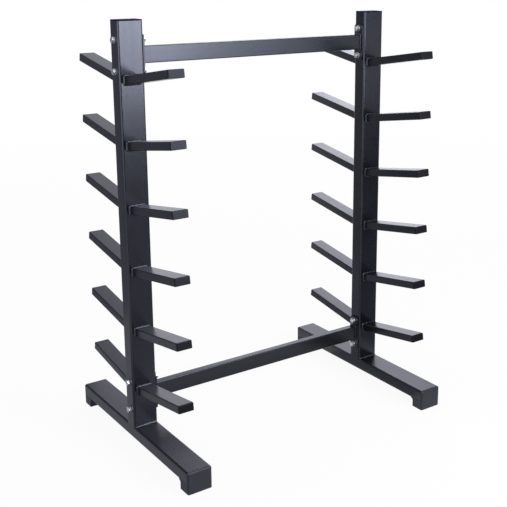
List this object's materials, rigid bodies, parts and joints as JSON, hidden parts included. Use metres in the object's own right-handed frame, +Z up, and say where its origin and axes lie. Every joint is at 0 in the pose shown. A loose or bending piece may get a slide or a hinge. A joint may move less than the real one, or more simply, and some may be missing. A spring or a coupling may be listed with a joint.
{
  "type": "barbell storage rack",
  "caption": "Free-standing steel rack whose two end frames carry tiers of upward-sloping arms front and back for barbells, joined by bolted crossbars.",
  "frame": {"origin": "on the floor, midway between the two end frames and midway between front and back", "axes": "+X along the crossbars to the right seen from the front, +Y towards the back, +Z up"},
  "size_m": [0.9974, 0.724, 1.32],
  "materials": {
    "painted_steel": "satin charcoal powder coat",
    "cap_plastic": "black moulded insert",
    "foot_plastic": "satin black moulded shoe",
    "zinc_steel": "bright zinc plate"
  },
  "bodies": {
    "root": {"post_left": "painted_steel", "post_cap_left": "cap_plastic", "base_left": "painted_steel", "foot_left_front": "foot_plastic", "arm_left_front_1": "painted_steel", "arm_left_front_2": "painted_steel", "arm_left_front_3": "painted_steel", "arm_left_front_4": "painted_steel", "arm_left_front_5": "painted_steel", "arm_left_front_6": "painted_steel", "foot_left_back": "foot_plastic", "arm_left_back_1": "painted_steel", "arm_left_back_2": "painted_steel", "arm_left_back_3": "painted_steel", "arm_left_back_4": "painted_steel", "arm_left_back_5": "painted_steel", "arm_left_back_6": "painted_steel", "post_right": "painted_steel", "post_cap_right": "cap_plastic", "base_right": "painted_steel", "foot_right_front": "foot_plastic", "arm_right_front_1": "painted_steel", "arm_right_front_2": "painted_steel", "arm_right_front_3": "painted_steel", "arm_right_front_4": "painted_steel", "arm_right_front_5": "painted_steel", "arm_right_front_6": "painted_steel", "foot_right_back": "foot_plastic", "arm_right_back_1": "painted_steel", "arm_right_back_2": "painted_steel", "arm_right_back_3": "painted_steel", "arm_right_back_4": "painted_steel", "arm_right_back_5": "painted_steel", "arm_right_back_6": "painted_steel", "crossbar_upper": "painted_steel", "end_plate_upper_left": "painted_steel", "bolt_upper_left_top": "zinc_steel", "nut_upper_left_top": "zinc_steel", "bolt_upper_left_bottom": "zinc_steel", "nut_upper_left_bottom": "zinc_steel", "end_plate_upper_right": "painted_steel", "bolt_upper_right_top": "zinc_steel", "nut_upper_right_top": "zinc_steel", "bolt_upper_right_bottom": "zinc_steel", "nut_upper_right_bottom": "zinc_steel", "crossbar_lower": "painted_steel", "end_plate_lower_left": "painted_steel", "bolt_lower_left_top": "zinc_steel", "nut_lower_left_top": "zinc_steel", "bolt_lower_left_bottom": "zinc_steel", "nut_lower_left_bottom": "zinc_steel", "end_plate_lower_right": "painted_steel", "bolt_lower_right_top": "zinc_steel", "nut_lower_right_top": "zinc_steel", "bolt_lower_right_bottom": "zinc_steel", "nut_lower_right_bottom": "zinc_steel"}
  },
  "joints": []
}
